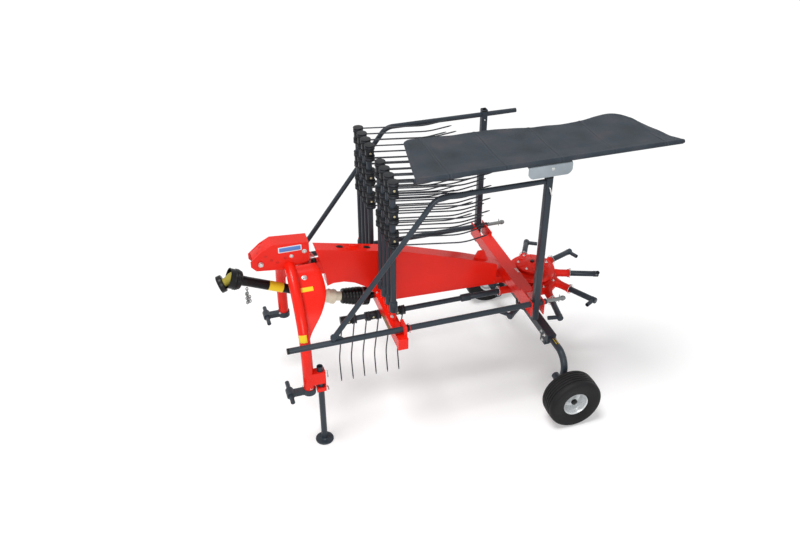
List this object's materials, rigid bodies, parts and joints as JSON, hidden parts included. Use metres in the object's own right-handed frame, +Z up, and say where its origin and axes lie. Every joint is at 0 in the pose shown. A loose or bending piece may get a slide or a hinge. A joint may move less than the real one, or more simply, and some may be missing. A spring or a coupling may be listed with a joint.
{
  "type": "single rotor hay rake",
  "caption": "Three-point mounted single rotor hay rake in its parked transport position, with folded guards, stowed tine arms, a swath curtain and a drive shaft.",
  "frame": {"origin": "on the ground under the middle of the machine's bounding box", "axes": "+X forward to the tractor, +Y to the machine's left, +Z up"},
  "size_m": [2.836, 1.663, 1.9075],
  "materials": {
    "red_paint": "gloss",
    "grey_paint": "satin",
    "black_plastic": "satin",
    "cream_paint": "satin",
    "zinc": "satin",
    "tyre": "matte",
    "rim_silver": "satin",
    "curtain_cloth": "matte"
  },
  "bodies": {
    "frame": {"main_beam": "red_paint", "input_shaft": "grey_paint", "gearbox": "red_paint", "rear_crossbar": "red_paint", "front_crossbar": "red_paint", "axle_box": "grey_paint", "left_wheel_leg": "grey_paint", "right_wheel_leg": "grey_paint", "clutch_guard": "black_plastic", "rear_yoke": "cream_paint", "pto_tube": "black_plastic", "pto_cone": "black_plastic", "pto_bell": "black_plastic", "pto_yoke": "cream_paint", "stowed_tine_arm_1": "grey_paint", "stowed_tine_arm_2": "grey_paint", "stowed_tine_arm_3": "grey_paint", "stowed_tine_arm_4": "grey_paint", "stowed_tine_arm_5": "grey_paint", "stowed_tine_arm_6": "grey_paint", "stowed_tine_arm_7": "grey_paint", "stowed_tine_arm_8": "grey_paint"},
    "rotor": {"rotor_hub": "red_paint", "control_arm_1": "grey_paint", "control_arm_2": "grey_paint", "control_arm_3": "grey_paint", "control_arm_4": "grey_paint", "control_arm_5": "grey_paint", "control_arm_6": "grey_paint", "control_arm_7": "grey_paint", "control_arm_8": "grey_paint", "control_arm_9": "grey_paint", "front_tine_arm": "grey_paint"},
    "left_wheel": {"left_tyre": "tyre", "left_rim": "rim_silver"},
    "right_wheel": {"right_tyre": "tyre", "right_rim": "rim_silver"},
    "left_guard": {"left_guard_tube": "grey_paint", "left_guard_rod": "zinc", "left_guard_post": "grey_paint", "left_guard_rail": "grey_paint", "curtain_bracket": "zinc", "curtain_rod": "grey_paint", "curtain": "curtain_cloth"},
    "right_guard": {"right_guard_tube": "grey_paint", "right_guard_rod": "zinc", "right_guard_post": "grey_paint", "right_guard_rail": "grey_paint"},
    "headstock": {"headstock_arch": "red_paint", "kingpin": "zinc", "top_link_bracket": "red_paint", "top_link_pin": "zinc", "left_hitch_bracket": "grey_paint", "right_hitch_bracket": "grey_paint", "stand_sleeve": "red_paint"},
    "stand": {"stand_leg": "grey_paint"}
  },
  "joints": [
    {"name": "rotor_spin", "type": "hinge", "parent": "frame", "child": "rotor", "pos_m": [-0.76098, 0, 0.677], "axis": [0, 0, 1], "continuous": true},
    {"name": "left_wheel_spin", "type": "hinge", "parent": "frame", "child": "left_wheel", "pos_m": [-0.76098, 0.754, 0.19], "axis": [0, 1, 0], "continuous": true},
    {"name": "right_wheel_spin", "type": "hinge", "parent": "frame", "child": "right_wheel", "pos_m": [-0.76098, -0.754, 0.19], "axis": [0, 1, 0], "continuous": true},
    {"name": "headstock_swivel", "type": "hinge", "parent": "frame", "child": "headstock", "pos_m": [0.86202, 0, 1.09], "axis": [0, 0, 1], "range_deg": [-15, 15]},
    {"name": "stand_slide", "type": "slide", "parent": "headstock", "child": "stand", "axis": [0, 0, 1], "range_m": [0, 0.35]},
    {"name": "left_guard_fold", "type": "hinge", "parent": "frame", "child": "left_guard", "pos_m": [-0.55298, 0.507, 0.858], "axis": [-1, 0, 0], "range_deg": [0, 90]},
    {"name": "right_guard_fold", "type": "hinge", "parent": "frame", "child": "right_guard", "pos_m": [-0.55298, -0.507, 0.858], "axis": [1, 0, 0], "range_deg": [0, 90]}
  ]
}
